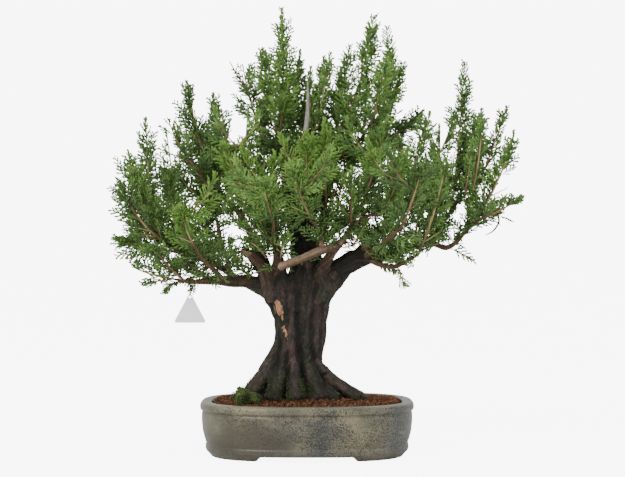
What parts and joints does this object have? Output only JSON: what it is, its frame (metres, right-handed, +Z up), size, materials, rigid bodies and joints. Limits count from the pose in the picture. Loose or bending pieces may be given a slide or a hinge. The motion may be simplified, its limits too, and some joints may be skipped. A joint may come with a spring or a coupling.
{
  "type": "bonsai tree",
  "caption": "Old arborvitae bonsai with a fluted trunk, spreading limbs and upright scaly green sprays, in a shallow oval glazed pot on four feet.",
  "frame": {"origin": "middle of the footprint of the whole object, on the floor under the pot's feet", "axes": "+Z up, +X to the right of a viewer who faces the front, front towards -Y"},
  "size_m": [0.621, 0.3968, 0.686],
  "materials": {
    "pot_glaze": "semi-matt grey-green glaze with dark speckles",
    "soil": "matt reddish-brown baked clay granules",
    "screen_plastic": "matt black plastic mesh",
    "bark": "rough dark grey-brown fibrous bark",
    "foliage": "soft green scale leaves",
    "moss": "soft olive moss",
    "tag_plastic": "frosted pale plastic",
    "tie_plastic": "matt dark cord"
  },
  "bodies": {
    "root": {"drain_screen_left": "screen_plastic", "drain_screen_right": "screen_plastic", "moss_cushion": "moss", "pot": "pot_glaze", "shoot_01_left_rise": "foliage", "shoot_02_left_rise": "foliage", "shoot_03_left_rise": "foliage", "shoot_04_left_rise": "foliage", "shoot_05_left_rise": "foliage", "shoot_06_left_low": "foliage", "shoot_07_left_low": "foliage", "shoot_08_left_back": "foliage", "shoot_09_left_back": "foliage", "shoot_10_left_back": "foliage", "shoot_11_left_front": "foliage", "shoot_12_dark_riser": "foliage", "shoot_13_upper_left": "foliage", "shoot_14_upper_left": "foliage", "shoot_15_upper_left": "foliage", "shoot_16_upper_left_low": "foliage", "shoot_17_red_branch": "foliage", "shoot_18_red_branch": "foliage", "shoot_19_red_branch": "foliage", "shoot_20_front_middle": "foliage", "shoot_21_leader_far_left": "foliage", "shoot_22_leader_left": "foliage", "shoot_23_leader_left": "foliage", "shoot_24_red_branch": "foliage", "shoot_25_centre_trunk": "foliage", "shoot_26_back_left": "foliage", "shoot_27_back_left": "foliage", "shoot_28_back_middle": "foliage", "shoot_29_twin_left": "foliage", "shoot_30_twin_right": "foliage", "shoot_31_twin_left": "foliage", "shoot_32_leader_right": "foliage", "shoot_33_leader_right": "foliage", "shoot_34_leader_right": "foliage", "shoot_35_leader_mid": "foliage", "shoot_36_front_riser": "foliage", "shoot_37_leader_far_right": "foliage", "shoot_38_leader_far_right": "foliage", "shoot_39_orange_stem": "foliage", "shoot_40_orange_stem": "foliage", "shoot_41_inner_stem": "foliage", "shoot_42_right_low": "foliage", "shoot_43_right_fan": "foliage", "shoot_44_right_fan": "foliage", "shoot_45_right_fan": "foliage", "shoot_46_right_main": "foliage", "shoot_47_right_main": "foliage", "shoot_48_right_main": "foliage", "shoot_49_right_back": "foliage", "shoot_50_right_back": "foliage", "shoot_51_right_front": "foliage", "shoot_52_back_right": "foliage", "soil": "soil", "tag": "tag_plastic", "tag_tie": "tie_plastic", "trunk_and_limbs": "bark"}
  },
  "joints": []
}
